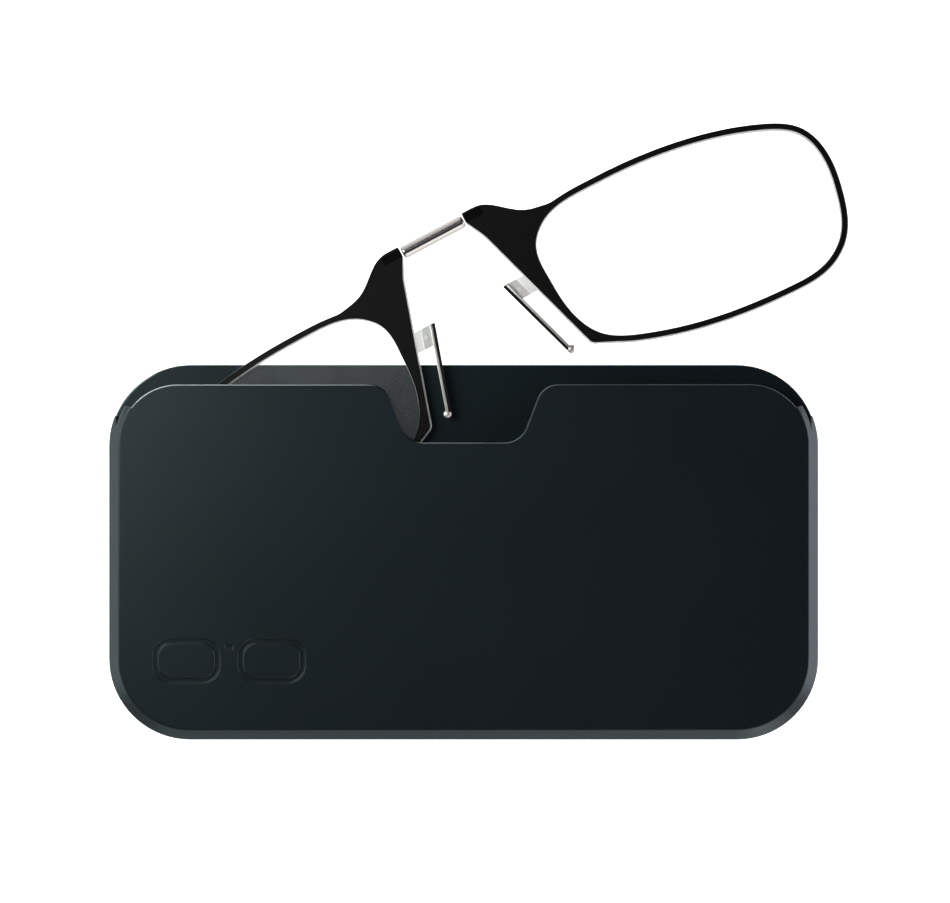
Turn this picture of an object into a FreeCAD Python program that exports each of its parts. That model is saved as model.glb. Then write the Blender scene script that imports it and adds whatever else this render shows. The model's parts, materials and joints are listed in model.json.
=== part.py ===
"""Armless folding reading glasses with their slim pocket case, in millimetres.

The case lies on its back.  +X is to the right, +Y points out of its mouth and +Z out of its
front.  The origin is the middle of the adhesive pad's outer face.  The glasses are half drawn
out of the case and lean to one side.  Each half of them is drawn in a frame of its own: the
origin is the middle of the bridge, x runs outwards along the bridge and y points up the nose.
"""
import FreeCAD, Part
import Sketcher
import math
import os
from FreeCAD import Placement, Rotation, Vector

DRIVING_SIZES = [
    # The glasses.
    ("lens_width", 47.0, "clear eye opening, across"),
    ("lens_height", 28.7, "clear eye opening, from brow to cheek"),
    ("lens_thickness", 1.0, "lens"),
    ("rim_width", 1.2, "clear rim round the lens"),
    ("rim_thickness", 1.2, "clear rim, front to back"),
    ("layer_thickness", 0.3, "black layer on the front of the rim"),
    ("layer_inset", 0.15, "clear lip left round the black layer"),
    ("layer_shift_out", 0.08, "black layer further from the nose than the clear rim"),
    ("layer_shift_up", 0.11, "black layer higher than the clear rim"),
    ("bridge_length", 10.9, "metal tube of the bridge"),
    ("bridge_gap", 0.2, "gap between the tube and each rim"),
    ("tube_diameter", 2.0, "metal tube of the bridge"),
    ("tube_end_radius", 0.4, "rounding of the tube's ends"),
    ("wire_diameter", 0.6, "spring wire through the bridge"),
    ("wire_clearance", 0.02, "all round the wire, in the tube and in the sockets"),
    ("socket_length", 3.2, "black socket that holds the wire's end"),
    ("socket_height", 1.3, "black socket, across the wire"),
    ("socket_rise", 0.15, "middle of the socket above the wire"),
    ("arm_rise", 1.2, "top of the rim's inner end above the wire"),
    ("arm_fall", 0.75, "bottom of the rim's inner end below the wire"),
    ("lens_inset", 7.5, "from the rim's inner end across to the lens"),
    ("lens_drop", 4.55, "from the wire down to the lens"),
    ("nose_flare", 1.45, "how far the nose edge flares at the bridge"),
    ("nose_flare_drop", 3.0, "height of that flare"),
    ("nose_flare_radius", 11.0, "rounding where that flare ends"),
    ("nose_corner_radius", 1.4, "lower inner corner of the rim"),
    # The nose pads.
    ("tab_drop", 12.0, "from the wire down to the pad's tab"),
    ("tab_height", 3.2, "tab and block that carry the pad"),
    ("block_length", 1.45, "block between the tab and the pad's strip"),
    ("flag_thickness", 0.3, "foot of the strip under the block"),
    ("pad_gap", 0.05, "between the tab and the block"),
    ("pad_offset", 2.95, "from the rim's nose edge to the pad's middle"),
    ("pad_length", 15.15, "nose pad, end to end"),
    ("pad_depth", 2.0, "nose pad, front to back"),
    ("strip_thickness", 0.4, "metal strip of the pad"),
    ("grip_thickness", 0.5, "black grip at its thick end"),
    ("grip_end_thickness", 0.4, "black grip at the tip"),
    ("tip_diameter", 1.3, "bead at the end of the pad"),
    # How the glasses lie.
    ("stow_angle", 18.0, "each half folds down so far to go into the case"),
    ("lean_angle", 27.85, "the glasses lean so far in the case's mouth"),
    ("lean_gap", 2.83, "from the case's side to the end of the stowed half"),
    ("lean_lift", 20.2, "bridge above the case's upper edge"),
    # The case.
    ("pad_thickness", 0.4, "adhesive pad"),
    ("pad_margin", 8.0, "adhesive pad inside the case's outline"),
    ("back_thickness", 0.7, "back shell"),
    ("front_thickness", 0.7, "front of the cover"),
    ("pocket_clearance", 0.3, "in front of the glasses and behind them"),
    ("side_wall", 1.2, "side walls of the cover"),
    ("side_clearance", 1.18, "beside the stowed glasses"),
    ("foot_clearance", 0.8, "below the stowed glasses"),
    ("bridge_depth", 7.25, "stowed bridge below the cover's edge"),
    ("mouth_drop", 3.1, "cover's edge below the back shell's edge"),
    ("corner_radius", 12.8, "corners of the case"),
    ("face_corner_radius", 9.3, "upper corners of the cover"),
    ("tip_drop", 6.35, "ends of the bevel below the back shell's edge"),
    ("tip_radius", 1.2, "ends of the bevel"),
    ("tip_dip", 0.35, "dip between the bevel's end and the cover's corner"),
    ("wall_drop", 8.1, "ends of the side walls below the back shell's edge"),
    ("bevel_width", 1.6, "bevel round the cover, seen from the front"),
    ("bevel_depth", 1.3, "bevel round the cover, front to back"),
    ("notch_depth", 9.15, "finger notch in the cover's edge"),
    ("notch_top", 24.9, "finger notch between its upper corners"),
    ("notch_bottom", 17.9, "finger notch between its lower corners"),
    ("notch_radius", 3.6, "all four corners of the finger notch"),
    ("edge_radius", 0.25, "rounding of the shells' edges"),
    ("mark_width", 24.0, "debossed outline of a pair of spectacles, on the cover"),
    ("mark_height", 7.0, "that mark, from top to bottom"),
    ("mark_line", 0.8, "width of its lines"),
    ("mark_depth", 0.25, "how deep it is sunk"),
    ("mark_side", 7.0, "from the case's left side to the mark"),
    ("mark_foot", 9.0, "from the case's lower edge to the mark"),
]

# The lens, as shares of its width and its height from its upper inner corner.
LENS_SHAPE = [
    (0.03, 0.113), (0.11, 0.027), (0.243, 0.005), (0.398, 0.011), (0.665, 0.071), (0.859, 0.171),
    (0.969, 0.29), (1.001, 0.468), (0.987, 0.66), (0.931, 0.883), (0.841, 0.981), (0.709, 1.0),
    (0.439, 0.958), (0.192, 0.851), (0.067, 0.735), (0.012, 0.54), (0.001, 0.332),
]
# The arm's upper edge, as shares of the way from the rim's inner end to the brow.
ARM_SHAPE = [(0.24, 0.056), (0.447, 0.497), (0.655, 0.889), (0.827, 1.0)]
# Where the arm meets the rim, and the rim's lower inner corner, as shares of the lens.
BROW = (0.156, 0.013)
CHEEK = (0.178, 0.84)
NOSE_CORNER = (0.022, 0.77)

doc = FreeCAD.newDocument("ReadingGlasses")
sheet = doc.addObject("Spreadsheet::Sheet", "Sizes")
parts = []


def add_sizes(rows):
    """Add rows of alias, number and meaning to the sheet."""
    first = add_sizes.next_row
    for row, (alias, number, meaning) in enumerate(rows, first):
        sheet.set(f"A{row}", meaning)
        sheet.set(f"B{row}", str(number))
        sheet.setAlias(f"B{row}", alias)
    add_sizes.next_row = first + len(rows)
    doc.recompute()


add_sizes.next_row = 1
add_sizes(DRIVING_SIZES)


def size(alias):
    return float(sheet.get(alias))


# ---------------------------------------------------------------------------------------------
# Plane geometry of one half: x outwards, y up.  The left half mirrors x.
# ---------------------------------------------------------------------------------------------
def mirrored(point, side):
    return Vector(side * point.x, point.y, 0)


def lens_point(share):
    """The point that lies at a share of the lens's width and height."""
    inner = size("bridge_length") / 2 + size("bridge_gap") + size("lens_inset")
    return Vector(inner + share[0] * size("lens_width"),
                  -size("lens_drop") - share[1] * size("lens_height"), 0)


def closed_spline(points):
    curve = Part.BSplineCurve()
    curve.interpolate(Points=points, PeriodicFlag=True)
    return curve


LENS_CURVE = closed_spline([lens_point(share) for share in LENS_SHAPE])


def beside_lens(target, distance):
    """The point at a distance outside the lens, nearest to a share of the lens, and the way on."""
    parameter = LENS_CURVE.parameter(lens_point(target))
    way = LENS_CURVE.tangent(parameter)[0]
    outwards = Vector(-way.y, way.x, 0)
    return LENS_CURVE.value(parameter) + outwards * distance, way


def lens_outline(distance, side):
    """A closed curve at a distance outside the lens."""
    points = [beside_lens(share, distance)[0] for share in LENS_SHAPE]
    return [closed_spline([mirrored(point, side) for point in points])]


def rounded_corner(before, corner, after, radius):
    """Where a corner's rounding starts, its middle and where it ends."""
    way_in = (before - corner).normalize()
    way_out = (after - corner).normalize()
    half_angle = way_in.getAngle(way_out) / 2
    reach = radius / math.tan(half_angle)
    centre = corner + (way_in + way_out).normalize() * (radius / math.sin(half_angle))
    middle = centre + (corner - centre).normalize() * radius
    return corner + way_in * reach, middle, corner + way_out * reach


def rounded_polygon(corners):
    """Lines and arcs round a closed polygon of (point, radius)."""
    edges = []
    ends = []
    for index, (corner, radius) in enumerate(corners):
        before = corners[index - 1][0]
        after = corners[(index + 1) % len(corners)][0]
        if radius:
            start, middle, end = rounded_corner(before, corner, after, radius)
            edges.append(Part.Arc(start, middle, end))
        else:
            start = end = corner
        ends.append((start, end))
    for index, (start, _) in enumerate(ends):
        edges.append(Part.LineSegment(ends[index - 1][1], start))
    return edges


END_X = size("bridge_length") / 2 + size("bridge_gap")
NOSE_TOP = Vector(END_X + size("nose_flare"), -size("arm_fall") - size("nose_flare_drop"), 0)
NOSE_WAY = (lens_point(NOSE_CORNER) - NOSE_TOP).normalize()
FRAME_WAY = Vector(-NOSE_WAY.y, NOSE_WAY.x, 0)


def arm_outline(inset, side):
    """The arm between the bridge and the lens, with its brow curve and its nose edge."""
    top = Vector(END_X, size("arm_rise") - inset, 0)
    bottom = Vector(END_X, -size("arm_fall") + inset, 0)
    brow, brow_way = beside_lens(BROW, size("rim_width") - inset)
    cheek = beside_lens(CHEEK, size("rim_width") - inset)[0]
    span = brow - top
    brow_points = [top]
    brow_points += [top + Vector(span.x * across, span.y * down, 0) for across, down in ARM_SHAPE]
    brow_points.append(brow)
    flare = NOSE_TOP + FRAME_WAY * inset
    corner = lens_point(NOSE_CORNER) + FRAME_WAY * inset
    low_arc = rounded_corner(flare, corner, cheek, size("nose_corner_radius"))
    high_arc = rounded_corner(bottom, flare, corner, size("nose_flare_radius"))
    brow_curve = Part.BSplineCurve()
    brow_curve.interpolate(
        Points=[mirrored(point, side) for point in brow_points],
        InitialTangent=Vector(side, 0, 0), FinalTangent=mirrored(brow_way, side))
    edges = [brow_curve]
    edges += [Part.Arc(*(mirrored(point, side) for point in arc)) for arc in (low_arc, high_arc)]
    for start, end in ((brow, cheek), (cheek, low_arc[2]), (low_arc[0], high_arc[2]),
                       (high_arc[0], bottom), (bottom, top)):
        edges.append(Part.LineSegment(mirrored(start, side), mirrored(end, side)))
    return edges


def pad_point(along, towards_frame):
    """A point of the nose pad, from the top of the face where its strip and grip meet."""
    start = NOSE_TOP - FRAME_WAY * size("pad_offset")
    start += NOSE_WAY * ((size("tab_drop") + start.y) / -NOSE_WAY.y)
    return start + NOSE_WAY * along + FRAME_WAY * towards_frame


def level_point(drop, towards_frame):
    """The point at a drop below the wire and at a distance from the strip, towards the frame."""
    foot = pad_point(0, towards_frame)
    return foot + NOSE_WAY * ((drop + foot.y) / -NOSE_WAY.y)


def slanted_block(near, far):
    """A block between two distances from the strip, with level upper and lower edges."""
    upper = size("tab_drop")
    lower = upper + size("tab_height")
    return [level_point(upper, near), level_point(upper, far),
            level_point(lower, far), level_point(lower, near)]


def polygon(points, side):
    ends = [mirrored(point, side) for point in points]
    return [Part.LineSegment(ends[index - 1], end) for index, end in enumerate(ends)]


# ---------------------------------------------------------------------------------------------
# Sizes that follow from the glasses: the case is made to hold them with their halves folded.
# ---------------------------------------------------------------------------------------------
def half_outline():
    """Points round the outside of one half."""
    shares = [index / 120 for index in range(120)]
    first, last = LENS_CURVE.FirstParameter, LENS_CURVE.LastParameter
    points = []
    for share in shares:
        parameter = first + share * (last - first)
        way = LENS_CURVE.tangent(parameter)[0]
        points.append(LENS_CURVE.value(parameter) + Vector(-way.y, way.x, 0) * size("rim_width"))
    return points


def reach_and_drop(angle, pivot_x):
    """How far one half reaches outwards and downwards when it is turned down by an angle."""
    turn = Rotation(Vector(0, 0, 1), -angle)
    pivot = Vector(pivot_x, 0, 0)
    turned = [pivot + turn.multVec(point - pivot) for point in half_outline()]
    return max(point.x for point in turned), max(-point.y for point in turned)


HINGE_X = (size("bridge_length") + size("bridge_gap")) / 2
STOWED_REACH, STOWED_DROP = reach_and_drop(size("stow_angle"), HINGE_X)
LEANING_REACH = max(
    Rotation(Vector(0, 0, 1), -size("lean_angle")).multVec(point).x for point in half_outline())
add_sizes([
    ("case_width", 2 * (STOWED_REACH + size("side_clearance") + size("side_wall")), "case"),
    ("case_height", STOWED_DROP + size("foot_clearance") + size("side_wall")
     + size("bridge_depth") + size("mouth_drop"), "case"),
    ("pocket_depth", size("tube_diameter") + 2 * size("pocket_clearance"), "case, inside"),
])
WIDTH, HEIGHT = size("case_width"), size("case_height")
WALL_HEIGHT = "(Sizes.pocket_depth + Sizes.front_thickness - Sizes.bevel_depth)"
RIM_BACK = "(-(Sizes.rim_thickness + Sizes.layer_thickness) / 2)"
BRIDGE_PLACE = Placement(
    Vector(-WIDTH / 2 + size("side_wall") + size("lean_gap") + LEANING_REACH,
           HEIGHT / 2 + size("lean_lift"), 0),
    Rotation(Vector(0, 0, 1), size("lean_angle")))
BRIDGE_LEVEL = "Sizes.pad_thickness + Sizes.back_thickness + Sizes.pocket_depth / 2"


# ---------------------------------------------------------------------------------------------
# Features.
# ---------------------------------------------------------------------------------------------
def new_body(label, place=None, level="0"):
    body = doc.addObject("PartDesign::Body", label)
    body.Label = label
    body.Placement = place or Placement()
    body.setExpression("Placement.Base.z", level)
    parts.append(body)
    return body


def new_sketch(body, name, edges, level="0", plane="XY_Plane"):
    """A sketch on one of the body's own planes, raised by an expression."""
    sketch = body.newObject("Sketcher::SketchObject", f"{body.Name}_{name}")
    origin_plane = next(item for item in body.Origin.OriginFeatures if item.Role == plane)
    sketch.AttachmentSupport = [(origin_plane, "")]
    sketch.MapMode = "FlatFace"
    sketch.setExpression("AttachmentOffset.Base.z", level)
    sketch.addGeometry(edges, False)
    return sketch


def add_circle(sketch, diameter_expression, centre=None):
    """A circle whose diameter follows the sheet."""
    middle = centre or Vector()
    circle = sketch.addGeometry(Part.Circle(middle, Vector(0, 0, 1), 1.0), False)
    sketch.addConstraint(Sketcher.Constraint("DistanceX", -1, 1, circle, 3, middle.x))
    sketch.addConstraint(Sketcher.Constraint("DistanceY", -1, 1, circle, 3, middle.y))
    diameter = sketch.addConstraint(Sketcher.Constraint("Diameter", circle, 2.0))
    sketch.setExpression(f"Constraints[{diameter}]", diameter_expression)
    return circle


def add_pad(sketch, length, reverse=False, symmetric=False):
    body = sketch.getParentGeoFeatureGroup()
    pad = body.newObject("PartDesign::Pad", f"{sketch.Name}_pad")
    pad.Profile = sketch
    pad.setExpression("Length", length)
    pad.Reversed = reverse
    pad.Midplane = symmetric
    doc.recompute()
    return pad


def add_pocket(sketch, length, reverse=True):
    """A pocket towards +z when reverse is set, and towards -z when it isn't."""
    body = sketch.getParentGeoFeatureGroup()
    before = body.Shape.Volume
    pocket = body.newObject("PartDesign::Pocket", f"{sketch.Name}_pocket")
    pocket.Profile = sketch
    pocket.setExpression("Length", length)
    pocket.Reversed = reverse
    doc.recompute()
    if body.Shape.Volume > before - 1e-3:
        raise RuntimeError(f"{pocket.Name} cuts nothing")
    return pocket


def rounded_rectangle(width, height, radius):
    """A rectangle with round corners, centred on the origin."""
    corners = [Vector(x * width / 2, y * height / 2, 0)
               for x, y in ((-1, -1), (1, -1), (1, 1), (-1, 1))]
    return rounded_polygon([(corner, radius) for corner in corners])


# ---------------------------------------------------------------------------------------------
# The case.
# ---------------------------------------------------------------------------------------------
def make_adhesive_pad():
    body = new_body("adhesive_pad")
    margin = size("pad_margin")
    outline = rounded_rectangle(
        WIDTH - 2 * margin, HEIGHT - 2 * margin, size("corner_radius") - margin / 2)
    add_pad(new_sketch(body, "outline", outline), "Sizes.pad_thickness")


def make_back_shell():
    body = new_body("case_back_shell", level="Sizes.pad_thickness")
    outline = rounded_rectangle(WIDTH, HEIGHT, size("corner_radius"))
    pad = add_pad(new_sketch(body, "outline", outline), "Sizes.back_thickness")
    fillet = body.newObject("PartDesign::Fillet", "case_back_shell_edge")
    front_edges = edges_at_level(pad.Shape, size("back_thickness"))
    fillet.Base = (pad, front_edges)
    fillet.setExpression("Radius", "Sizes.edge_radius")
    doc.recompute()


def edges_at_level(shape, level, wanted=lambda middle: True):
    """Names of the edges that lie flat at a level and pass a test of their middle."""
    names = []
    for index, edge in enumerate(shape.Edges, 1):
        middle = edge.valueAt((edge.FirstParameter + edge.LastParameter) / 2)
        flat = abs(edge.BoundBox.ZMin - level) < 1e-4 and abs(edge.BoundBox.ZMax - level) < 1e-4
        if flat and wanted(middle):
            names.append(f"Edge{index}")
    return names


def mouth_cut():
    """Everything that the cover leaves open at the top, with the finger notch."""
    beyond = size("corner_radius")
    tip_y = HEIGHT / 2 - size("tip_drop")
    edge_y = HEIGHT / 2 - size("mouth_drop")
    face_x = -WIDTH / 2 + size("bevel_width") + size("face_corner_radius")
    face_y = edge_y - size("face_corner_radius")
    radius = size("face_corner_radius")
    tip_x = -WIDTH / 2 + size("bevel_width") + size("tip_radius") / 2
    dip_y = tip_y - size("tip_dip")
    dip_angle = math.asin((dip_y - face_y) / radius)
    dip = Vector(face_x - radius * math.cos(dip_angle), dip_y, 0)
    half_way = (dip_angle + math.pi / 2) / 2
    corner_middle = Vector(
        face_x - radius * math.cos(half_way), face_y + radius * math.sin(half_way), 0)
    tip_start = Vector(tip_x - size("tip_radius"), tip_y - size("tip_radius"), 0)
    tip_middle = Vector(tip_x - size("tip_radius") * math.cos(math.pi / 4),
                        tip_y - size("tip_radius") * (1 - math.sin(math.pi / 4)), 0)
    tip_end = Vector(tip_x, tip_y, 0)
    notch_y = edge_y - size("notch_depth")
    upper = Vector(-size("notch_top") / 2, edge_y, 0)
    lower = Vector(-size("notch_bottom") / 2, notch_y, 0)
    edge_start = Vector(face_x, edge_y, 0)
    middle = Vector(0, notch_y, 0)
    upper_start, upper_middle, upper_end = rounded_corner(edge_start, upper, lower, size("notch_radius"))
    lower_start, lower_middle, lower_end = rounded_corner(upper, lower, middle, size("notch_radius"))
    outside = Vector(-WIDTH / 2 - beyond, tip_start.y, 0)
    above = Vector(-WIDTH / 2 - beyond, HEIGHT / 2 + beyond, 0)
    edges = []
    for side in (1, -1):
        def line(start, end):
            edges.append(Part.LineSegment(mirrored(start, side), mirrored(end, side)))

        def arc(start, through, end):
            edges.append(Part.Arc(mirrored(start, side), mirrored(through, side), mirrored(end, side)))

        line(Vector(0, above.y, 0), above)
        line(above, outside)
        line(outside, tip_start)
        arc(tip_start, tip_middle, tip_end)
        line(tip_end, dip)
        arc(dip, corner_middle, edge_start)
        line(edge_start, upper_start)
        arc(upper_start, upper_middle, upper_end)
        line(upper_end, lower_start)
        arc(lower_start, lower_middle, lower_end)
        line(lower_end, middle)
    return edges


def pocket_outline():
    """The room inside the cover: it is open at the top, above the ends of the side walls."""
    inner_x = WIDTH / 2 - size("side_wall")
    bottom_y = -HEIGHT / 2 + size("side_wall")
    wall_y = HEIGHT / 2 - size("wall_drop")
    beyond = size("corner_radius")
    radius = size("corner_radius") - size("side_wall")
    right = [(Vector(inner_x, bottom_y, 0), radius), (Vector(inner_x, wall_y, 0), 0),
             (Vector(WIDTH / 2 + beyond, wall_y, 0), 0),
             (Vector(WIDTH / 2 + beyond, HEIGHT / 2 + beyond, 0), 0)]
    left = [(mirrored(point, -1), corner) for point, corner in reversed(right)]
    return rounded_polygon(right + left)


def spectacles_mark():
    """Two lens rings and a bridge bar, as outlines of sunk lines."""
    line = size("mark_line")
    high = size("mark_height")
    ring_width = size("mark_width") * 0.44
    left = -WIDTH / 2 + size("mark_side")
    middle_y = -HEIGHT / 2 + size("mark_foot") + high / 2
    edges = []
    for centre_x in (left + ring_width / 2, left + size("mark_width") - ring_width / 2):
        for inset in (0, line):
            shift = Vector(centre_x, middle_y, 0)
            half_x, half_y = ring_width / 2 - inset, high / 2 - inset
            corners = [Vector(x * half_x, y * half_y, 0) + shift
                       for x, y in ((-1, -1), (1, -1), (1, 1), (-1, 1))]
            edges += rounded_polygon([(corner, high * 0.4 - inset) for corner in corners])
    gap_start = left + ring_width + line
    gap_end = left + size("mark_width") - ring_width - line
    bar_y = middle_y + high / 4
    edges += rounded_polygon([(Vector(x, y, 0), 0) for x, y in (
        (gap_start, bar_y), (gap_end, bar_y), (gap_end, bar_y + line), (gap_start, bar_y + line))])
    return edges


def make_front_cover():
    body = new_body("case_front_cover", level="Sizes.pad_thickness + Sizes.back_thickness")
    outline = rounded_rectangle(WIDTH, HEIGHT, size("corner_radius"))
    add_pad(new_sketch(body, "outline", outline), WALL_HEIGHT)
    bevel = size("bevel_width")
    face = rounded_rectangle(
        WIDTH - 2 * bevel, HEIGHT - 2 * bevel, size("corner_radius") - bevel)
    lower = new_sketch(body, "bevel_foot", outline, WALL_HEIGHT)
    upper = new_sketch(body, "bevel_top", face, "Sizes.pocket_depth + Sizes.front_thickness")
    loft = body.newObject("PartDesign::AdditiveLoft", "case_front_cover_bevel")
    loft.Profile = lower
    loft.Sections = [upper]
    loft.Ruled = True
    doc.recompute()
    add_pocket(new_sketch(body, "pocket", pocket_outline()), "Sizes.pocket_depth")
    mouth = add_pocket(new_sketch(body, "mouth", mouth_cut()), "2 * Sizes.corner_radius")
    level = size("pocket_depth") + size("front_thickness")
    face_x = WIDTH / 2 - bevel - size("edge_radius")
    low = HEIGHT / 2 - size("wall_drop") - size("notch_depth")
    edge_names = edges_at_level(
        mouth.Shape, level, lambda middle: middle.y > low and abs(middle.x) < face_x)
    fillet = body.newObject("PartDesign::Fillet", "case_front_cover_edge")
    fillet.Base = (mouth, edge_names)
    fillet.setExpression("Radius", "Sizes.edge_radius")
    doc.recompute()
    face_level = "Sizes.pocket_depth + Sizes.front_thickness"
    add_pocket(new_sketch(body, "mark", spectacles_mark(), face_level), "Sizes.mark_depth",
               reverse=False)


# ---------------------------------------------------------------------------------------------
# One half of the glasses.  side is 1 for the right half and -1 for the left half.
# ---------------------------------------------------------------------------------------------
def socket_slot(side):
    """The slot at the inner end of the rim that the wire's socket fills."""
    low = size("socket_rise") - size("socket_height") / 2
    high = size("socket_rise") + size("socket_height") / 2
    far = END_X + size("socket_length")
    return polygon([Vector(END_X, low, 0), Vector(far, low, 0),
                    Vector(far, high, 0), Vector(END_X, high, 0)], side)


def make_frame(name, side):
    body = new_body(f"{name}_frame", BRIDGE_PLACE, BRIDGE_LEVEL)
    add_pad(new_sketch(body, "rim", lens_outline(size("rim_width"), side), RIM_BACK),
            "Sizes.rim_thickness")
    add_pad(new_sketch(body, "arm", arm_outline(0, side), RIM_BACK), "Sizes.rim_thickness")
    near = size("strip_thickness") + size("block_length") + size("pad_gap")
    far = size("pad_offset") + size("rim_width") / 2
    add_pad(new_sketch(body, "tab", polygon(slanted_block(near, far), side), RIM_BACK),
            "Sizes.rim_thickness")
    add_pocket(new_sketch(body, "eye", lens_outline(0, side), RIM_BACK), "Sizes.rim_thickness")
    add_pocket(new_sketch(body, "slot", socket_slot(side), RIM_BACK), "Sizes.rim_thickness")


def moved(edges, shift):
    for edge in edges:
        edge.translate(shift)
    return edges


def make_rim_layer(name, side):
    body = new_body(f"{name}_rim_layer", BRIDGE_PLACE, BRIDGE_LEVEL)
    inset = size("layer_inset")
    shift = Vector(side * size("layer_shift_out"), size("layer_shift_up"), 0)
    back = RIM_BACK + " + Sizes.rim_thickness"
    rim = moved(lens_outline(size("rim_width") - inset, side), shift)
    add_pad(new_sketch(body, "rim", rim, back), "Sizes.layer_thickness")
    arm = moved(arm_outline(inset, side), shift)
    add_pad(new_sketch(body, "arm", arm, back), "Sizes.layer_thickness")
    eye = moved(lens_outline(inset, side), shift)
    add_pocket(new_sketch(body, "eye", eye, back), "Sizes.layer_thickness")
    add_pocket(new_sketch(body, "slot", socket_slot(side), back), "Sizes.layer_thickness")


def make_lens(name, side):
    body = new_body(f"{name}_lens", BRIDGE_PLACE, BRIDGE_LEVEL)
    back = RIM_BACK + " + (Sizes.rim_thickness - Sizes.lens_thickness) / 2"
    add_pad(new_sketch(body, "outline", lens_outline(0, side), back), "Sizes.lens_thickness")


def make_socket(name, side):
    body = new_body(f"{name}_bridge_socket", BRIDGE_PLACE, BRIDGE_LEVEL)
    add_pad(new_sketch(body, "block", socket_slot(side), RIM_BACK),
            "Sizes.rim_thickness + Sizes.layer_thickness")
    bore = new_sketch(body, "bore", [], f"{side * END_X}", "YZ_Plane")
    add_circle(bore, "Sizes.wire_diameter + 2 * Sizes.wire_clearance")
    add_pocket(bore, "Sizes.socket_length", reverse=side > 0)


def make_wire_end(name, side):
    body = new_body(f"{name}_wire_end", BRIDGE_PLACE, BRIDGE_LEVEL)
    profile = new_sketch(body, "profile", [], f"{side * END_X}", "YZ_Plane")
    add_circle(profile, "Sizes.wire_diameter")
    add_pad(profile, "Sizes.socket_length - Sizes.wire_diameter / 2", reverse=side < 0)


# ---------------------------------------------------------------------------------------------
# The bridge.
# ---------------------------------------------------------------------------------------------
def make_bridge_tube():
    body = new_body("bridge_tube", BRIDGE_PLACE, BRIDGE_LEVEL)
    profile = new_sketch(body, "profile", [], plane="YZ_Plane")
    add_circle(profile, "Sizes.tube_diameter")
    add_circle(profile, "Sizes.wire_diameter + 2 * Sizes.wire_clearance")
    tube = add_pad(profile, "Sizes.bridge_length", symmetric=True)
    fillet = body.newObject("PartDesign::Fillet", "bridge_tube_ends")
    outer = [f"Edge{index}" for index, edge in enumerate(tube.Shape.Edges, 1)
             if edge.BoundBox.YLength > size("tube_diameter") * 0.9
             and edge.BoundBox.XLength < size("wire_clearance")]
    fillet.Base = (tube, outer)
    fillet.setExpression("Radius", "Sizes.tube_end_radius")
    doc.recompute()


def make_bridge_wire():
    body = new_body("bridge_wire", BRIDGE_PLACE, BRIDGE_LEVEL)
    profile = new_sketch(body, "profile", [], plane="YZ_Plane")
    add_circle(profile, "Sizes.wire_diameter")
    add_pad(profile, "Sizes.bridge_length + Sizes.bridge_gap * 0.7", symmetric=True)


# ---------------------------------------------------------------------------------------------
# A nose pad: a metal strip with a black grip, a bead at its end and a block at its foot.
# ---------------------------------------------------------------------------------------------
def pad_end():
    """How far down the pad its strip and its grip reach, inside the bead."""
    return size("pad_length") - size("tip_diameter") / 2 - size("strip_thickness") / 2


def make_pad_strip(name, side):
    body = new_body(f"{name}_pad_strip", BRIDGE_PLACE, BRIDGE_LEVEL)
    thick = size("strip_thickness")
    strip = [pad_point(0, 0), pad_point(0, thick), pad_point(pad_end(), thick), pad_point(pad_end(), 0)]
    add_pad(new_sketch(body, "strip", polygon(strip, side)), "Sizes.pad_depth", symmetric=True)
    flag = slanted_block(thick / 2, thick + size("block_length"))
    add_pad(new_sketch(body, "flag", polygon(flag, side), RIM_BACK), "Sizes.flag_thickness")


def make_pad_block(name, side):
    body = new_body(f"{name}_pad_block", BRIDGE_PLACE, BRIDGE_LEVEL)
    thick = size("strip_thickness")
    block = slanted_block(thick, thick + size("block_length"))
    add_pad(new_sketch(body, "block", polygon(block, side), RIM_BACK + " + Sizes.flag_thickness"),
            "Sizes.rim_thickness - Sizes.flag_thickness")


def grip_corners():
    return [pad_point(0, 0), pad_point(0, -size("grip_thickness")),
            pad_point(pad_end(), -size("grip_end_thickness")), pad_point(pad_end(), 0)]


def make_pad_grip(name, side):
    body = new_body(f"{name}_pad_grip", BRIDGE_PLACE, BRIDGE_LEVEL)
    add_pad(new_sketch(body, "grip", polygon(grip_corners(), side)), "Sizes.pad_depth", symmetric=True)


def make_pad_tip(name, side):
    body = new_body(f"{name}_pad_tip", BRIDGE_PLACE, BRIDGE_LEVEL)
    thick = size("strip_thickness")
    bead = new_sketch(body, "bead", [])
    centre = pad_point(size("pad_length") - size("tip_diameter") / 2,
                       thick / 2)
    add_circle(bead, "Sizes.tip_diameter", mirrored(centre, side))
    add_pad(bead, "Sizes.pad_depth", symmetric=True)
    slot = grip_corners()[:3] + [pad_point(pad_end(), thick), pad_point(0, thick)]
    add_pocket(new_sketch(body, "slot", polygon(slot[1:], side), "-Sizes.pad_depth / 2"),
               "Sizes.pad_depth")


def check_and_write():
    """Stop at any failed object or bad shape, then write each part's file."""
    doc.recompute()
    for item in doc.Objects:
        if "Invalid" in item.State or "Error" in item.State:
            raise RuntimeError(f"{item.Name} failed: {item.State}")
    os.makedirs("parts", exist_ok=True)
    for body in parts:
        shape = body.Shape
        if shape.isNull() or not shape.isValid() or len(shape.Solids) != 1:
            raise RuntimeError(f"{body.Label} has no single valid solid")
        shape.exportStep(f"parts/{body.Label}.step")
        box = shape.BoundBox
        print(f"{body.Label:22s} {shape.Volume:9.3f} mm3  x {box.XMin:7.2f} {box.XMax:7.2f}"
              f"  y {box.YMin:7.2f} {box.YMax:7.2f}  z {box.ZMin:5.2f} {box.ZMax:5.2f}")


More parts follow.
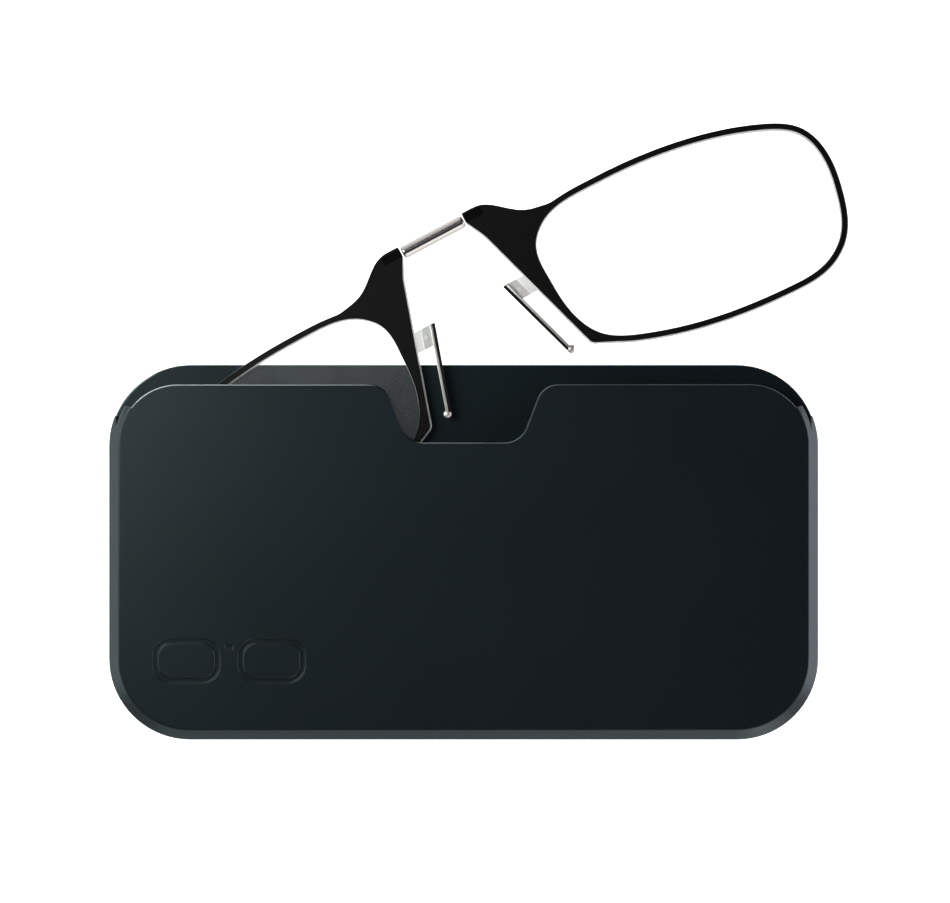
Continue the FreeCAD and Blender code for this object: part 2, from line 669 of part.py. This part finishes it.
make_adhesive_pad()
make_back_shell()
make_front_cover()
make_bridge_tube()
make_bridge_wire()
for half, half_side in (("left", -1), ("right", 1)):
    make_frame(half, half_side)
    make_rim_layer(half, half_side)
    make_lens(half, half_side)
    make_socket(half, half_side)
    make_wire_end(half, half_side)
    make_pad_strip(half, half_side)
    make_pad_block(half, half_side)
    make_pad_grip(half, half_side)
    make_pad_tip(half, half_side)
check_and_write()

PIVOT = pad_point(0, size("strip_thickness") + size("block_length") + size("pad_gap") / 2)
PIVOT += NOSE_WAY * ((size("tab_drop") + size("tab_height") + PIVOT.y) / -NOSE_WAY.y)
print(f"case {WIDTH:.2f} x {HEIGHT:.2f}, lean reach {LEANING_REACH:.2f}")
for label, point in (("bridge", Vector()), ("fold_left", Vector(-HINGE_X, 0, 0)),
                     ("fold_right", Vector(HINGE_X, 0, 0)), ("left_pad", mirrored(PIVOT, -1)),
                     ("right_pad", PIVOT)):
    placed = BRIDGE_PLACE.multVec(point)
    print(f"{label:10s} at x {placed.x:8.4f} y {placed.y:8.4f}")
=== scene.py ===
# %% [markdown]
# # Armless reading glasses in their pocket case
# A CAD model gives every part of these glasses its true shape and place, but no looks. This
# lesson loads it as a fixed frame and dresses it. Parts whose shape is right only get a finish.
# Small parts whose real edges are soft get a rounded copy that stands for them.

import json
import math

import bmesh
import bpy
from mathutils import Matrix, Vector


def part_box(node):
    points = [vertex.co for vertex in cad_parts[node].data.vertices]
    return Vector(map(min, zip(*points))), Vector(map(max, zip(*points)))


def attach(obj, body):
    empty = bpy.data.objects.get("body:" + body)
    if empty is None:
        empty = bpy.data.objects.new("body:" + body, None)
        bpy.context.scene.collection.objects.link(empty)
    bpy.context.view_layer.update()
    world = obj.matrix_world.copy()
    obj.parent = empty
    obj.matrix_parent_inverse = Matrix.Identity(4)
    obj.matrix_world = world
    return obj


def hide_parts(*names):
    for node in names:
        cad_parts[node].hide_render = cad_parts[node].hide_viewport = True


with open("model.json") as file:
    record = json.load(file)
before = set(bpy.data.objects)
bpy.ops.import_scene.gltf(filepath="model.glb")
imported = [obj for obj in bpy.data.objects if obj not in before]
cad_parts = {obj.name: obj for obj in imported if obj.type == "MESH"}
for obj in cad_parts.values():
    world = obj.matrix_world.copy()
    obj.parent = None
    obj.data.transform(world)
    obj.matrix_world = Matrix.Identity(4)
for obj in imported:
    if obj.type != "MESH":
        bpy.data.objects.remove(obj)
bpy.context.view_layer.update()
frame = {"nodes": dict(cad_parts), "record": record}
MM = 0.001

# %% [markdown]
# Each CAD part belongs to a body, which moves as one, and takes its finish from a slot of the
# record. New pieces need the same two facts, so two small look-up tables come first. The
# direction of the bridge is worked out from the two hinges at its ends.

# %% Who belongs where
record = frame["record"]
BODY_OF = {node: body for body, nodes in record["behaviour"]["bodies"].items() for node in nodes}
SLOT_OF = {row["node"]: row["material_slot"] for row in record["subparts"]}
HINGES = {joint["name"]: Vector(joint["pos_m"]) for joint in record["behaviour"]["joints"]
          if "pos_m" in joint}
bridge_way = (HINGES["fold_right"] - HINGES["fold_left"]).normalized()
LEAN = math.atan2(bridge_way.y, bridge_way.x)
print(f"the bridge leans {math.degrees(LEAN):.1f} degrees")

# %% [markdown]
# ## Shader sums
# A procedural finish is mostly arithmetic on patterns. Nodes can be wired one by one, but sums
# are easier to read as Python. This class wraps the output of a node, and each operator adds
# the Math node for it, or the Vector Math node when a colour or a vector is involved.

# %% A socket that can be used in sums
COLOURED = ("RGBA", "VECTOR")


class Shade:
    """One output of a finish's node tree, which can be added to, subtracted and multiplied."""

    def __init__(self, tree, socket=None):
        self.tree = tree
        self.socket = socket

    def node(self, kind, settings=None, sockets=None, output=0):
        """Adds a node, makes its settings, fills its sockets and returns one of its outputs."""
        made = self.tree.nodes.new("ShaderNode" + kind)
        for key, value in (settings or {}).items():
            setattr(made, key, value)
        for key, value in (sockets or {}).items():
            if isinstance(value, Shade):
                self.tree.links.new(value.socket, made.inputs[key])
            else:
                made.inputs[key].default_value = value
        return Shade(self.tree, made.outputs[output])

    def sum_of(self, operation, first, second):
        coloured = any(isinstance(value, tuple)
                       or isinstance(value, Shade) and value.socket.type in COLOURED
                       for value in (first, second))
        kind = "VectorMath" if coloured else "Math"
        if coloured:
            first, second = (value if isinstance(value, (Shade, tuple)) else (value,) * 3
                             for value in (first, second))
        return self.node(kind, {"operation": operation}, {0: first, 1: second})

    def __add__(self, other):
        return self.sum_of("ADD", self, other)

    def __radd__(self, other):
        return self.sum_of("ADD", other, self)

    def __sub__(self, other):
        return self.sum_of("SUBTRACT", self, other)

    def __rsub__(self, other):
        return self.sum_of("SUBTRACT", other, self)

    def __mul__(self, other):
        return self.sum_of("MULTIPLY", self, other)

    def __rmul__(self, other):
        return self.sum_of("MULTIPLY", other, self)


print("operators ready:", [name for name in vars(Shade) if name.startswith("__r")])

# %% [markdown]
# Four patterns do for every finish here: noise for clouds and grain, a smooth step that turns
# noise into spots, fine ribs, and a mask of the part's edges. The edge mask compares the true
# normal with one that a Bevel node has rounded over, so it finds sharp edges on any mesh.


# %% Patterns
def place(shade, stretch=(1.0, 1.0, 1.0), turn=0.0):
    """Where a point is on the object in metres, turned about Z and then stretched."""
    at = shade.node("TexCoord", output="Object")
    if turn:
        at = shade.node("VectorRotate", {"rotation_type": "Z_AXIS"}, {"Vector": at, "Angle": turn})
    return at * stretch


def lumps(shade, size_mm, detail=2.0, at=None):
    """Noise from 0 to 1 whose lumps are about so many millimetres across."""
    return shade.node("TexNoise", sockets={
        "Vector": at or place(shade), "Scale": 1 / (size_mm * MM), "Detail": detail})


def step(shade, low, high):
    """0 below low, 1 above high, and smooth between them."""
    return shade.node("MapRange", {"interpolation_type": "SMOOTHSTEP"}, {
        "Value": shade, "From Min": low, "From Max": high})


def ribs(shade, pitch_mm, direction, ripple=0.0):
    """Fine parallel ribs, from 0 to 1."""
    return shade.node("TexWave", {"bands_direction": direction}, {
        "Vector": place(shade), "Scale": math.pi / 10 / (pitch_mm * MM),
        "Distortion": ripple})


def reach(shade, vector, direction):
    """How far a vector reaches in a direction: their dot product."""
    return shade.node("VectorMath", {"operation": "DOT_PRODUCT"},
                      {0: vector, 1: direction}, output="Value")


def tint(amount, low, high):
    """A colour between low and high."""
    return amount.node("Mix", {"data_type": "RGBA"}, {
        0: amount, 6: (*low, 1.0), 7: (*high, 1.0)}, output=2)


def rounded_normal(shade, radius_mm):
    """The normal as it would be if the part's edges were rounded to this radius."""
    return shade.node("Bevel", {"samples": 6}, {"Radius": radius_mm * MM})


def edge_mask(shade, soft):
    """1 on edges and 0 on flat stretches."""
    alike = reach(shade, soft, shade.node("NewGeometry", output="Normal"))
    return step(1 - alike, 0.002, 0.12)


def bump(height, depth_mm, normal=None, strength=1.0):
    """A normal that makes a pattern look this deep, on top of another normal if there is one."""
    sockets = {"Height": height, "Distance": depth_mm * MM, "Strength": strength}
    if normal:
        sockets["Normal"] = normal
    return height.node("Bump", sockets=sockets)


# %% [markdown]
# A finish starts from a Principled shader whose uniform values are set straight on its sockets.
# What varies over the surface is then linked to colour, roughness or normal.

# %% Start a finish
FINISHES = {}


def new_finish(name, uniform, varied):
    """Makes a material. varied takes a Shade and returns the links of the shader's sockets."""
    material = bpy.data.materials.new(name)
    material.use_nodes = True
    tree = material.node_tree
    shader = tree.nodes["Principled BSDF"]
    for socket, value in uniform.items():
        shader.inputs[socket].default_value = value
    for socket, shade in varied(Shade(tree)).items():
        tree.links.new(shade.socket, shader.inputs[socket])
    FINISHES[name] = material
    print(f"{name}: {len(tree.nodes)} nodes")
    return material


# %% [markdown]
# ## The case's plastic
# The case is moulded in a satin, nearly black plastic with a cold green-blue cast. The mould's
# polishing leaves an extremely fine crosswise grain. Handling rubs the edges a little smoother
# and lighter. A painted highlight lies along the rounded lip of the mouth, brightest at its left
# end, where the light falls. The back shell has the same looks with less shine.


# %% Case plastic
# A painted highlight on the mouth's lip: the way the lit rounding faces, where the lip stops, and
# its fade from left to right.
LIP_FACES = (-0.2, 0.5, 0.84)
PAST_MOUTH = (27.5 * MM, 28.5 * MM)
RIGHT_TO_LEFT = (-25 * MM, 35 * MM)
LEAST_LIP_HIGHLIGHT = 0.08


def painted_lip_highlight(shade):
    """A painted highlight on the rounded lip of the mouth: full at its left end, faint at its
    right.
    """
    normal = shade.node("NewGeometry", output="Normal")
    lip = step(reach(shade, normal, LIP_FACES), 0.92, 0.99)
    beyond = step(reach(shade, place(shade), (0.0, 1.0, 0.0)), *PAST_MOUTH)
    side = step(reach(shade, place(shade), (-1.0, 0.0, 0.0)), *RIGHT_TO_LEFT)
    return lip * (1 - beyond) * (LEAST_LIP_HIGHLIGHT + (1 - LEAST_LIP_HIGHLIGHT) * side)


def case_looks(shade):
    cloud = lumps(shade, 22, detail=1.0)
    speck = lumps(shade, 0.11, detail=3.0)
    weave = ribs(shade, 0.34, "X", 0.6) * ribs(shade, 0.34, "Y", 0.6)
    soft = rounded_normal(shade, 0.35)
    worn = edge_mask(shade, soft) * step(lumps(shade, 1.6), 0.3, 0.75)
    colour = tint(cloud, (0.0030, 0.0058, 0.0075), (0.0042, 0.0076, 0.0100))
    # Rubbed edges are a little lighter from wear; the mouth's lip gets a painted highlight.
    colour = colour + worn * (0.006, 0.007, 0.007) + painted_lip_highlight(shade) * (0.58, 0.61, 0.64)
    rough = 0.34 + 0.04 * cloud + 0.08 * (speck - 0.5) - 0.06 * worn
    normal = bump(speck * 0.7 + weave * 0.3, 0.004, soft, 0.35)
    return {"Base Color": colour, "Roughness": rough, "Normal": normal}


new_finish("case_satin_plastic", {
    "IOR": 1.46, "Specular Tint": (0.82, 0.95, 1.0, 1.0)}, case_looks)
new_finish("case_dull_plastic", {
    "Specular IOR Level": 0.32, "Specular Tint": (0.78, 0.95, 1.0, 1.0)}, case_looks)

# %% [markdown]
# ## The rims
# Each rim is clear plastic with a thin black layer on its front. The layer sits a little up and
# outward, so that a fine bright line of clear plastic shows along some of its edges. Over a
# white table fully clear plastic would vanish, so only part of the light goes through. The
# blocks of the nose pads are hazier still, and their stakes let no light through.


# %% Black layer and clear plastic
def black_looks(shade):
    speck = lumps(shade, 0.16, detail=2.0)
    streak = lumps(shade, 5)
    colour = tint(streak, (0.0024, 0.0023, 0.0023), (0.0034, 0.0033, 0.0033))
    return {"Base Color": colour, "Roughness": 0.36 + 0.08 * (speck - 0.5),
            "Normal": bump(speck, 0.0015, strength=0.4)}


def clear_looks(low, high):
    def looks(shade):
        haze = lumps(shade, 1.1, detail=3.0)
        speck = lumps(shade, 0.2)
        rough = low + (high - low) * haze
        return {"Roughness": rough, "Normal": bump(speck, 0.003, strength=0.3)}
    return looks


new_finish("rim_black_layer", {
    "Specular IOR Level": 0.22, "Specular Tint": (1.0, 0.93, 0.92, 1.0)}, black_looks)
new_finish("rim_clear_plastic", {"Base Color": (0.88, 0.86, 0.85, 1.0),
           "Transmission Weight": 0.45, "IOR": 1.46}, clear_looks(0.05, 0.18))
new_finish("block_hazy_plastic", {"Base Color": (0.76, 0.72, 0.71, 1.0),
           "Transmission Weight": 0.12, "IOR": 1.46}, clear_looks(0.18, 0.42))
new_finish("stake_milky_plastic", {"Base Color": (0.80, 0.75, 0.72, 1.0),
           "Transmission Weight": 0.0, "IOR": 1.5}, clear_looks(0.15, 0.3))

# %% [markdown]
# ## The lenses
# A lens this thin hardly bends what is behind it. Real refraction would cost many rays and
# would shade the case as if the lens were frosted, so the lens is a window: a Fresnel node
# mixes a clear shader with a mirror, which is weak face-on and strong at grazing angles. A few
# faint smudges lie on it.


# %% Lens
def lens_finish():
    material = bpy.data.materials.new("lens_clear_coated")
    material.use_nodes = True
    tree = material.node_tree
    tree.nodes.clear()
    start = Shade(tree)
    smudge = step(lumps(start, 7, detail=3.0), 0.5, 0.8)
    clear = start.node("BsdfTransparent", sockets={"Color": (0.97, 0.975, 0.975, 1.0)})
    mirror = start.node("BsdfAnisotropic", sockets={
        "Color": (1.0, 1.0, 1.0, 1.0), "Roughness": 0.13 + 0.05 * smudge})
    share = start.node("Fresnel", sockets={"IOR": 1.5})
    surface = start.node("MixShader", sockets={0: share, 1: clear, 2: mirror})
    output = tree.nodes.new("ShaderNodeOutputMaterial")
    tree.links.new(surface.socket, output.inputs["Surface"])
    FINISHES["lens_clear_coated"] = material
    print("lens_clear_coated:", len(tree.nodes), "nodes")


lens_finish()

# %% [markdown]
# ## The metals
# The bridge is a drawn tube, so its faint scratches run along it, and the noise is stretched
# that way. The nose pads are stamped from satin strip. Both are fully metallic, and a metal's
# colour is that of its reflection. A dark specular tint keeps their edges from fading into the
# white table.


# %% Bridge tube, spring wire and pad strip
def metal_looks(low, high, rough, scratch, depth_mm):
    def looks(shade):
        drawn = place(shade, (scratch, 1.0, 1.0), -LEAN)
        lines = lumps(shade, 0.07, detail=2.0, at=drawn)
        cloud = lumps(shade, 1.4, detail=2.0)
        return {"Base Color": tint(cloud, low, high),
                "Roughness": rough + 0.10 * (lines - 0.5) + 0.05 * cloud,
                "Normal": bump(lines, depth_mm, strength=0.5)}
    return looks


new_finish("bridge_polished_metal", {
    "Metallic": 1.0, "Specular Tint": (0.18, 0.17, 0.16, 1.0)}, metal_looks(
    (0.44, 0.425, 0.415), (0.47, 0.455, 0.44), 0.20, 0.015, 0.0002))
new_finish("wire_spring_steel", {"Metallic": 1.0}, metal_looks(
    (0.50, 0.50, 0.50), (0.60, 0.60, 0.60), 0.28, 0.03, 0.001))
new_finish("pad_satin_metal", {
    "Metallic": 1.0, "Specular Tint": (0.2, 0.19, 0.18, 1.0)}, metal_looks(
    (0.72, 0.68, 0.64), (0.82, 0.78, 0.74), 0.42, 0.5, 0.001))


# %% [markdown]
# ## Rubber, sockets and foam
# The grips and the sockets are both black, but the grips are a soft matt rubber and the sockets
# a dead black plastic. The foam tape on the case's back has open pores, made from the distance
# to the cell centres of a Voronoi pattern.


# %% Grip rubber, socket plastic and foam tape
def rubber_looks(shade):
    speck = lumps(shade, 0.09, detail=2.0)
    return {"Base Color": tint(speck, (0.0008, 0.0008, 0.0008), (0.0022, 0.0021, 0.0020)),
            "Roughness": 0.60 + 0.15 * speck, "Normal": bump(speck, 0.006, strength=0.5)}


def socket_looks(shade):
    speck = lumps(shade, 0.12)
    return {"Base Color": tint(speck, (0.0003, 0.0003, 0.0003), (0.0009, 0.0009, 0.0009)),
            "Roughness": 0.75 + 0.1 * speck, "Normal": bump(speck, 0.002, strength=0.4)}


def foam_looks(shade):
    cell = shade.node("TexVoronoi", sockets={"Vector": place(shade), "Scale": 1 / (0.35 * MM)})
    pore = step(cell, 0.15, 0.5)
    cloud = lumps(shade, 9, detail=3.0)
    colour = tint(pore, (0.42, 0.41, 0.38), (0.76, 0.75, 0.71)) * (0.92 + 0.08 * cloud)
    return {"Base Color": colour, "Roughness": 0.9 - 0.1 * pore, "Normal": bump(pore, 0.04)}


new_finish("grip_rubber", {"Specular IOR Level": 0.2}, rubber_looks)
new_finish("socket_dead_black", {"Specular IOR Level": 0.08}, socket_looks)
new_finish("foam_tape", {"Sheen Weight": 0.1}, foam_looks)

# %% [markdown]
# ## Dress the CAD parts
# Each slot of the record has one finish. Every CAD part gets it, apart from the back shell,
# which is duller than the cover. The copies made further down take it over.

# %% Slot to finish
FINISH_OF_SLOT = {
    "adhesive": "foam_tape",
    "case_plastic": "case_satin_plastic",
    "bridge_metal": "bridge_polished_metal",
    "spring_metal": "wire_spring_steel",
    "clear_plastic": "rim_clear_plastic",
    "rim_black": "rim_black_layer",
    "lens_clear": "lens_clear_coated",
    "socket_black": "socket_dead_black",
    "pad_metal": "pad_satin_metal",
    "pad_rubber": "grip_rubber",
}


def dress(piece, finish):
    """Gives a piece one finish."""
    piece.data.materials.clear()
    piece.data.materials.append(FINISHES[finish])


for node, part in frame["nodes"].items():
    dress(part, FINISH_OF_SLOT[SLOT_OF[node]])
dress(frame["nodes"]["case_back_shell"], "case_dull_plastic")
print("dressed", len(frame["nodes"]), "parts")


# %% [markdown]
# ## Softened copies
# Moulded and stamped parts have no razor edges, and a rounded edge is what catches the light.
# A Bevel modifier would do, but a bevel in bmesh leaves a finished mesh, so the copy is ready
# to export. The copy stands for the CAD part, which stays for collision, hidden.


# %% Round the edges of a copy
SHARP = math.radians(35)
FLAT = math.radians(1)
SAME_POINT = 1e-7


def join_in(piece, node, finish=None):
    """Puts a piece on a CAD part's body, dressed in its slot's finish or the given one."""
    bpy.context.scene.collection.objects.link(piece)
    dress(piece, finish or FINISH_OF_SLOT[SLOT_OF[node]])
    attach(piece, BODY_OF[node])


def stand_for(piece, node, finish=None):
    """Puts a piece in a CAD part's place."""
    join_in(piece, node, finish)
    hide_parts(node)
    return piece


def soft_copy(node, radius_mm, finish=None):
    """A copy of a CAD part with its sharp edges rounded over."""
    mesh = frame["nodes"][node].data.copy()
    if "custom_normal" in mesh.attributes:
        mesh.attributes.remove(mesh.attributes["custom_normal"])
    shape = bmesh.new()
    shape.from_mesh(mesh)
    bmesh.ops.remove_doubles(shape, verts=shape.verts, dist=SAME_POINT)
    bmesh.ops.dissolve_limit(
        shape, angle_limit=FLAT, verts=shape.verts, edges=shape.edges)
    sharp = [edge for edge in shape.edges
             if len(edge.link_faces) == 2 and edge.calc_face_angle() > SHARP]
    bmesh.ops.bevel(shape, geom=sharp, offset=radius_mm * MM, segments=3,
                    affect="EDGES", profile=0.5, clamp_overlap=True)
    for face in shape.faces:
        face.smooth = True
    shape.to_mesh(mesh)
    shape.free()
    mesh.set_sharp_from_angle(angle=SHARP)
    print(f"{node}: {len(sharp)} sharp edges rounded")
    return stand_for(bpy.data.objects.new(f"{node}_soft", mesh), node, finish)


for half in ("left", "right"):
    soft_copy(f"{half}_frame", 0.07)
    soft_copy(f"{half}_pad_strip", 0.06)
    soft_copy(f"{half}_pad_grip", 0.12)
    soft_copy(f"{half}_pad_block", 0.03, "block_hazy_plastic")


# %% [markdown]
# ## Turned pieces
# The bead at the end of each nose pad and the little stake that holds the pad's strip in its
# block are round about the Z axis. Both come from a profile of (radius, height) points that a
# loop turns about that axis, like work on a lathe.


# %% A lathe
SIDES = 32


def turned(name, centre, profile):
    """A closed mesh from a profile that starts and ends on the axis."""
    shape = bmesh.new()
    rings = []
    for radius, height in profile:
        count = SIDES if radius else 1
        angles = [2 * math.pi * index / count for index in range(count)]
        rings.append([shape.verts.new((centre.x + radius * math.cos(angle),
                                       centre.y + radius * math.sin(angle),
                                       centre.z + height)) for angle in angles])
    for lower, upper in zip(rings, rings[1:]):
        for index in range(SIDES):
            corners = [lower[index % len(lower)], lower[(index + 1) % len(lower)],
                       upper[(index + 1) % len(upper)], upper[index % len(upper)]]
            shape.faces.new(list(dict.fromkeys(corners)))
    bmesh.ops.recalc_face_normals(shape, faces=shape.faces)
    for face in shape.faces:
        face.smooth = True
    mesh = bpy.data.meshes.new(name)
    shape.to_mesh(mesh)
    shape.free()
    mesh.set_sharp_from_angle(angle=math.radians(40))
    return bpy.data.objects.new(name, mesh)


def middle_of(node):
    """The middle of a CAD part's box."""
    low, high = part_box(node)
    return (low + high) / 2


# %% Beads and stakes
DRUM_POINTS = 9
DRUM_POWER = 0.45


def drum_profile(radius, half_height):
    """A barrel with well rounded rims."""
    turns = [math.pi * (index / (DRUM_POINTS - 1) - 0.5) for index in range(DRUM_POINTS)]
    profile = [(radius * math.cos(turn) ** DRUM_POWER,
                half_height * math.copysign(abs(math.sin(turn)) ** DRUM_POWER, turn))
               for turn in turns[1:-1]]
    return [(0.0, -half_height)] + profile + [(0.0, half_height)]


BEAD_SPREAD = 1.1
STAKE_RADIUS = 0.42 * MM
STAKE_HEIGHT = 0.16 * MM
STAKE_SUNK = 0.02 * MM
for half in ("left", "right"):
    low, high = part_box(f"{half}_pad_tip")
    radius = min(high.x - low.x, high.y - low.y) / 2 * BEAD_SPREAD
    bead = turned(f"{half}_pad_bead", (low + high) / 2, drum_profile(radius, (high.z - low.z) / 2))
    stand_for(bead, f"{half}_pad_tip")
    block = f"{half}_pad_block"
    foot = middle_of(block)
    foot.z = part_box(block)[1].z - STAKE_SUNK
    dome = [(0.0, 0.0), (STAKE_RADIUS, 0.0), (STAKE_RADIUS * 0.92, STAKE_HEIGHT * 0.5),
            (STAKE_RADIUS * 0.6, STAKE_HEIGHT * 0.88), (0.0, STAKE_HEIGHT)]
    stake = turned(f"{half}_pad_stake", foot, dome)
    join_in(stake, block, "stake_milky_plastic")
    print(f"{half} bead radius {radius / MM:.2f} mm")

# %% [markdown]
# ## The foam pad
# The tape on the back is a slab of foam with soft cut edges. It is built as rings of one
# rounded rectangle, each a little further in, so that its rim can be rounded and its face can
# undulate a little where the foam has been pressed. DENT_X and DENT_Y say how tight the waves
# are, in radians per metre.


# %% Foam pad
def rounded_loop(half_x, half_y, radius, steps=10):
    """Points round a rectangle with round corners."""
    loop = []
    for corner, (x, y) in enumerate(((1, 1), (-1, 1), (-1, -1), (1, -1))):
        for index in range(steps + 1):
            angle = math.pi / 2 * (corner + index / steps)
            loop.append(Vector((x * (half_x - radius) + radius * math.cos(angle),
                                y * (half_y - radius) + radius * math.sin(angle), 0)))
    return loop


FOAM_CORNER = 8.8 * MM
FOAM_RIM = 0.16 * MM
FOAM_INSETS = [inset * MM for inset in (1.2, 4, 8, 14, 20)]
DENT = 0.03 * MM
DENT_X = 210
DENT_Y = 260


def foam_pad(node):
    """A slab of foam in a CAD part's box."""
    low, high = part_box(node)
    half_x, half_y = (high.x - low.x) / 2, (high.y - low.y) / 2
    lift = high.z - low.z
    rim = [(FOAM_RIM * (1 - math.sin(turn)), lift / 2 * (1 - math.cos(turn)))
           for turn in (0.0, math.pi / 6, math.pi / 3, math.pi / 2)]
    lower = [(inset, 0.0) for inset in reversed(FOAM_INSETS)] + rim
    levels = lower + [(inset, lift - height) for inset, height in reversed(lower)]
    shape = bmesh.new()
    rings = []
    for inset, height in levels:
        radius = max(FOAM_CORNER - inset, 0.3 * MM)
        ring = []
        for point in rounded_loop(half_x - inset, half_y - inset, radius):
            pressed = DENT * (1 + math.sin(point.x * DENT_X) * math.cos(point.y * DENT_Y)) / 2
            z = low.z + height + (pressed if height < lift / 2 and inset > MM else 0)
            ring.append(shape.verts.new((point.x, point.y, z)))
        rings.append(ring)
    for first, second in zip(rings, rings[1:]):
        for index in range(len(first)):
            after = (index + 1) % len(first)
            shape.faces.new((first[index], first[after], second[after], second[index]))
    shape.faces.new(rings[0])
    shape.faces.new(rings[-1])
    bmesh.ops.remove_doubles(shape, verts=shape.verts, dist=1e-6)
    bmesh.ops.recalc_face_normals(shape, faces=shape.faces)
    for face in shape.faces:
        face.smooth = True
    mesh = bpy.data.meshes.new("foam_tape_pad")
    shape.to_mesh(mesh)
    shape.free()
    return stand_for(bpy.data.objects.new("foam_tape_pad", mesh), node)


foam = foam_pad("adhesive_pad")
print("foam pad:", len(foam.data.vertices), "points")

# %% [markdown]
# ## Floor and camera
# The glasses lie on a white table that glows a little, like a light table. It lights the clear
# plastic from behind and drowns every shadow. The camera looks straight down through a long lens,
# so the case's sides hardly show.


# %% Floor
def floor_looks(shade):
    cloud = lumps(shade, 60, detail=1.0)
    return {"Base Color": tint(cloud, (0.88, 0.88, 0.88), (0.92, 0.92, 0.92))}


TABLE_LEVEL = -0.05 * MM


def make_floor(size):
    """A glowing table just under the case."""
    mesh = bpy.data.meshes.new("light_table")
    half = size / 2
    corners = [(x * half, y * half, TABLE_LEVEL) for x, y in ((-1, -1), (1, -1), (1, 1), (-1, 1))]
    mesh.from_pydata(corners, [], [(0, 1, 2, 3)])
    table = bpy.data.objects.new("light_table", mesh)
    bpy.context.scene.collection.objects.link(table)
    table.data.materials.append(new_finish("table_white", {
        "Emission Color": (1.0, 1.0, 1.0, 1.0), "Emission Strength": 1.1,
        "Roughness": 0.6}, floor_looks))


make_floor(4.0)

# %% Camera
LENS_MM = 200.0
SENSOR_MM = 36.0
SEEN_WIDTH = 150.5 * MM
VIEW_SHIFT = Vector((1.8 * MM, 15.9 * MM, 0))
case_middle = middle_of("case_back_shell")
camera_data = bpy.data.cameras.new("overhead_camera")
camera_data.lens = LENS_MM
camera_data.sensor_width = SENSOR_MM
camera = bpy.data.objects.new("overhead_camera", camera_data)
bpy.context.scene.collection.objects.link(camera)
camera_height = SEEN_WIDTH * LENS_MM / SENSOR_MM
camera.location = case_middle + VIEW_SHIFT + Vector((0, 0, camera_height))
bpy.context.scene.camera = camera
print(f"camera {camera_height:.3f} m above the case")


# %% [markdown]
# ## Studio light
# Large soft boxes stand round the table. A soft box is an area light, set here by how bright
# its surface looks, because that is what a shiny part mirrors. Right above the case it stays
# dark, which keeps the flat black face deep and draws the dark line down the bridge tube.


# %% Soft boxes
AIM = case_middle + Vector((0, 10 * MM, 0))


def soft_box(name, direction, elevation, distance, width, height, glow, colour):
    """A box at a compass direction (degrees from +X) and an elevation, facing the case."""
    data = bpy.data.lights.new(name, "AREA")
    data.shape = "RECTANGLE"
    data.size, data.size_y = width, height
    data.color = colour
    data.energy = glow * width * height * math.pi
    box = bpy.data.objects.new(name, data)
    across, up = math.radians(direction), math.radians(elevation)
    away = Vector((math.cos(across) * math.cos(up), math.sin(across) * math.cos(up), math.sin(up)))
    box.location = AIM + away * distance
    box.rotation_euler = away.to_track_quat("Z", "Y").to_euler()
    box.visible_camera = False
    bpy.context.scene.collection.objects.link(box)
    print(f"{name}: {data.energy:.2f} W")
    return box


GREENISH = (0.90, 1.0, 0.98)
PURPLISH = (0.96, 0.93, 1.0)
WARM = (1.0, 0.95, 0.92)
soft_box("left_box", 180, 12, 0.5, 0.5, 0.30, 2.4, GREENISH)
soft_box("right_box", 0, 12, 0.5, 0.5, 0.30, 4.4, PURPLISH)
soft_box("bottom_box", -90, 12, 0.5, 0.6, 0.30, 0.95, GREENISH)
soft_box("upper_left_box", 156, 50, 0.22, 0.12, 0.12, 6.2, GREENISH)
BRIDGE_LEAN = math.degrees(LEAN)
soft_box("upper_bridge_box", BRIDGE_LEAN + 90, 23, 0.5, 0.30, 0.42, 1.0, WARM)
soft_box("lower_bridge_box", BRIDGE_LEAN - 90, 24, 0.5, 0.30, 0.46, 1.9, WARM)

# %% Lens glint and room
glint = soft_box("lens_glint_box", 152, 86, 1.05, 0.18, 0.10, 0.9, (0.95, 1.0, 1.0))
world = bpy.data.worlds.new("dim_room")
world.use_nodes = True
world.node_tree.nodes["Background"].inputs["Color"].default_value = (0.024, 0.025, 0.030, 1.0)
bpy.context.scene.world = world
bpy.context.scene.view_settings.view_transform = "Standard"
print("glint box at", [round(value, 3) for value in glint.location])

# %% [markdown]
# ## Finish
